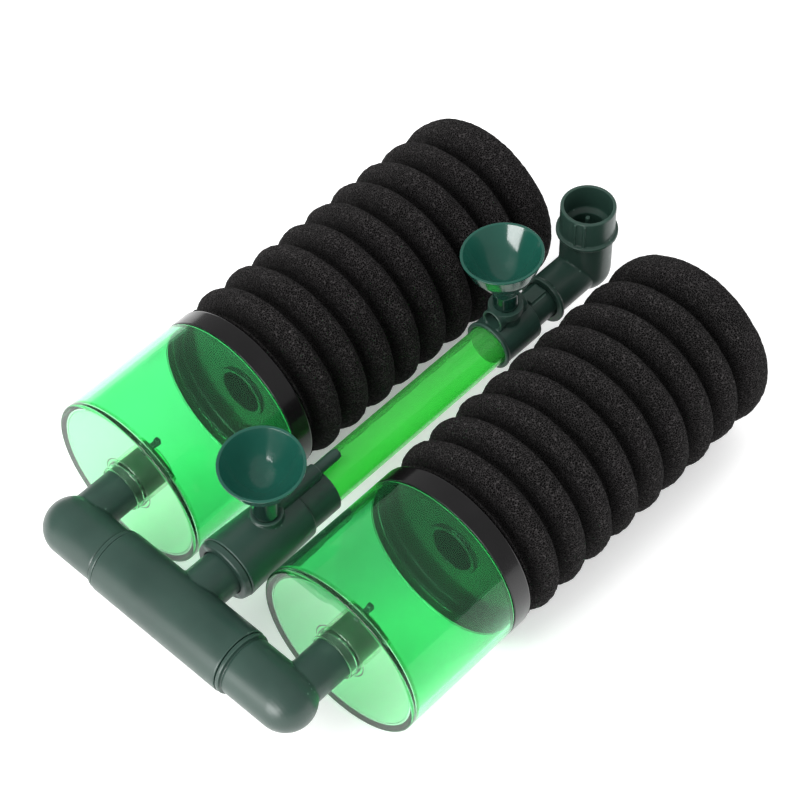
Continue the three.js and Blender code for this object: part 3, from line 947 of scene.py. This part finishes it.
def outletMesh():
    at = (0, outletY, 0)
    front = outlet["front"] - outletY
    socketEnd = outlet["socketEnd"] - outletY
    lipEnd = front + outlet["lipWidth"]
    neck = turned([
        (0, front), (outlet["lip"], front), (outlet["lip"], lipEnd), (outlet["neck"], lipEnd + 1),
        (outlet["neck"], 0), (0, 0),
    ], 96, "Y", at)
    pipe = rod(outlet["pipe"], 0, outlet["pipeTop"], "Z", at)
    bores = [
        rod(holder["spigot"] + fit, front - 1, socketEnd, "Y", at),
        rod(outlet["neckBore"], socketEnd - 1, 0, "Y", at),
        ball(outlet["pipeBore"], at),
        rod(outlet["pipeBore"], 0, outlet["pipeTop"] + 1, "Z", at),
    ]
    return moulded([neck, ball(outlet["pipe"], at), pipe], bores, 0.32, 2)


def nozzleMesh():
    at = (0, outletY, 0)
    spigot = outlet["pipeBore"] - fit
    body = turned([
        (nozzle["spigotBore"], nozzle["spigotBottom"]), (spigot, nozzle["spigotBottom"]),
        (spigot, nozzle["beadBottom"]), (nozzle["bead"], nozzle["beadBottom"]),
        (nozzle["bead"], nozzle["beadTop"]), (nozzle["radius"], nozzle["beadTop"] + 0.2),
        (nozzle["radius"], nozzle["top"] - 0.4), (nozzle["radius"] - 0.3, nozzle["top"]),
        (nozzle["mouth"], nozzle["top"]), (nozzle["mouth"], nozzle["beadTop"] + 1.5),
        (nozzle["spigotBore"], nozzle["beadTop"]),
    ], 96, "Z", at)
    barWidth, barHeight = nozzle["bar"]
    barSize = (2 * nozzle["spigotBore"] + 0.8, barWidth, barHeight)
    bar = block(barSize, (0, outletY, nozzle["spigotBottom"] + 1))
    pin = rod(nozzle["pin"], nozzle["spigotBottom"] + 0.5, nozzle["pinTop"], "Z", at, 24)
    width = nozzle["ribWidth"]
    height = nozzle["top"] - nozzle["beadTop"] - 1
    middle = Vector((0, outletY, (nozzle["top"] + nozzle["beadTop"]) / 2 - 0.3))
    ribs = []
    for degrees in nozzle["ribAngles"]:
        angle = math.radians(degrees)
        spot = Vector((math.cos(angle), math.sin(angle), 0)) * (nozzle["radius"] + 0.1)
        ribs.append(block((width, width, height), spot + middle, Matrix.Rotation(angle, 4, "Z")))
    return moulded([body, bar, pin, *ribs], [], 0.28, 2)


fitted("outletElbow", outletMesh(), "outlet", darkGreenPlastic, ["outlet_elbow"])
fitted("outletNozzle", nozzleMesh(), "nozzle", darkGreenPlastic, ["outlet_nozzle"])
print("outlet made")

# Floor, light and camera.

studio = {
    "floorTone": 0.95, "floorGlow": 0.3, "world": 1.12, "reflected": 0.42,
    "key": 8, "keySize": (0.7, 0.7), "keyPlace": (-0.15, -0.65, 0.85),
    "shine": 13, "shineSize": (0.8, 0.42), "shinePlace": (0.06, -1.0, 0.23), "aim": (0, 0, 0.03),
}


def paleFloor():
    # the floor is a lit white table, so it glows a little
    material, tree, shader = newFinish("paleFloor", {
        "Roughness": 0.7, "Specular IOR Level": 0.2, "Emission Color": (1, 1, 1, 1),
        "Emission Strength": studio["floorGlow"],
    })
    place = node(tree, "ShaderNodeTexCoord").outputs["Object"]
    tone = studio["floorTone"]
    paper = noiseAt(tree, place, 30, 4, 0.6)
    paint = mixed(tree, paper, (tone - 0.01,) * 3, (tone + 0.02,) * 3)
    tree.links.new(paint, shader.inputs["Base Color"])
    bumped(tree, shader, noiseAt(tree, place, 900, 2, 0.5), 0.03, 0.05)
    shape = bmesh.new()
    bmesh.ops.create_grid(shape, x_segments=8, y_segments=8, size=3)
    floor = bpy.data.objects.new("studioFloor", meshFrom(shape, "studioFloor"))
    floor.data.materials.append(material)
    bpy.context.scene.collection.objects.link(floor)
    floor.location.z = cadBox[0][2] - 0.3 * mm


def softbox(name, power, size, place):
    light = bpy.data.lights.new(name, "AREA")
    light.energy = power
    light.shape = "RECTANGLE"
    light.size, light.size_y = size
    made = bpy.data.objects.new(name, light)
    made.location = place
    aim = Vector(studio["aim"]) - Vector(place)
    made.rotation_euler = aim.to_track_quat("-Z", "Y").to_euler()
    bpy.context.scene.collection.objects.link(made)
    return made


def studioLight():
    world = bpy.data.worlds.new("studioWorld")
    world.use_nodes = True
    tree = world.node_tree
    background = tree.nodes["Background"]
    background.inputs["Color"].default_value = (1, 1, 1, 1)
    # a gloss sees dimmer walls than the soft light that fills the shadows
    glossyRay = node(tree, "ShaderNodeLightPath").outputs["Is Glossy Ray"]
    strength = ranged(tree, glossyRay, 0, 1, studio["world"], studio["reflected"])
    tree.links.new(strength, background.inputs["Strength"])
    bpy.context.scene.world = world
    # the key lights the room without a highlight of its own
    key = softbox("keySoftbox", studio["key"], studio["keySize"], studio["keyPlace"])
    key.visible_glossy = False
    # a low softbox that only shows in the gloss, as one clean highlight
    shine = softbox("shineSoftbox", studio["shine"], studio["shineSize"], studio["shinePlace"])
    shine.visible_diffuse = False
    bpy.context.scene.view_settings.view_transform = "Standard"


cameraView = {
    "azimuth": 43.965, "elevation": 51.572, "roll": -1.236, "distance": 872.5,
    "angle": 18.59, "target": (-6.4, 91.85, 0),
}


def placeCamera():
    azimuth = math.radians(cameraView["azimuth"])
    elevation = math.radians(cameraView["elevation"])
    roll = math.radians(cameraView["roll"])
    back = Vector((
        math.sin(azimuth) * math.cos(elevation),
        -math.cos(azimuth) * math.cos(elevation),
        math.sin(elevation),
    ))
    right = Vector((0, 0, 1)).cross(back).normalized()
    up = back.cross(right)
    across = right * math.cos(roll) + up * math.sin(roll)
    above = up * math.cos(roll) - right * math.sin(roll)
    place = shopToRow @ (Vector(cameraView["target"]) + back * cameraView["distance"])
    lens = bpy.data.cameras.new("studioCamera")
    lens.angle = math.radians(cameraView["angle"])
    lens.clip_start = 0.01
    camera = bpy.data.objects.new("studioCamera", lens)
    turn = Matrix((across, above, back)).transposed()
    camera.matrix_world = Matrix.Translation(place) @ turn.to_4x4()
    bpy.context.scene.collection.objects.link(camera)
    bpy.context.scene.camera = camera


paleFloor()
studioLight()
placeCamera()
print("studio ready")
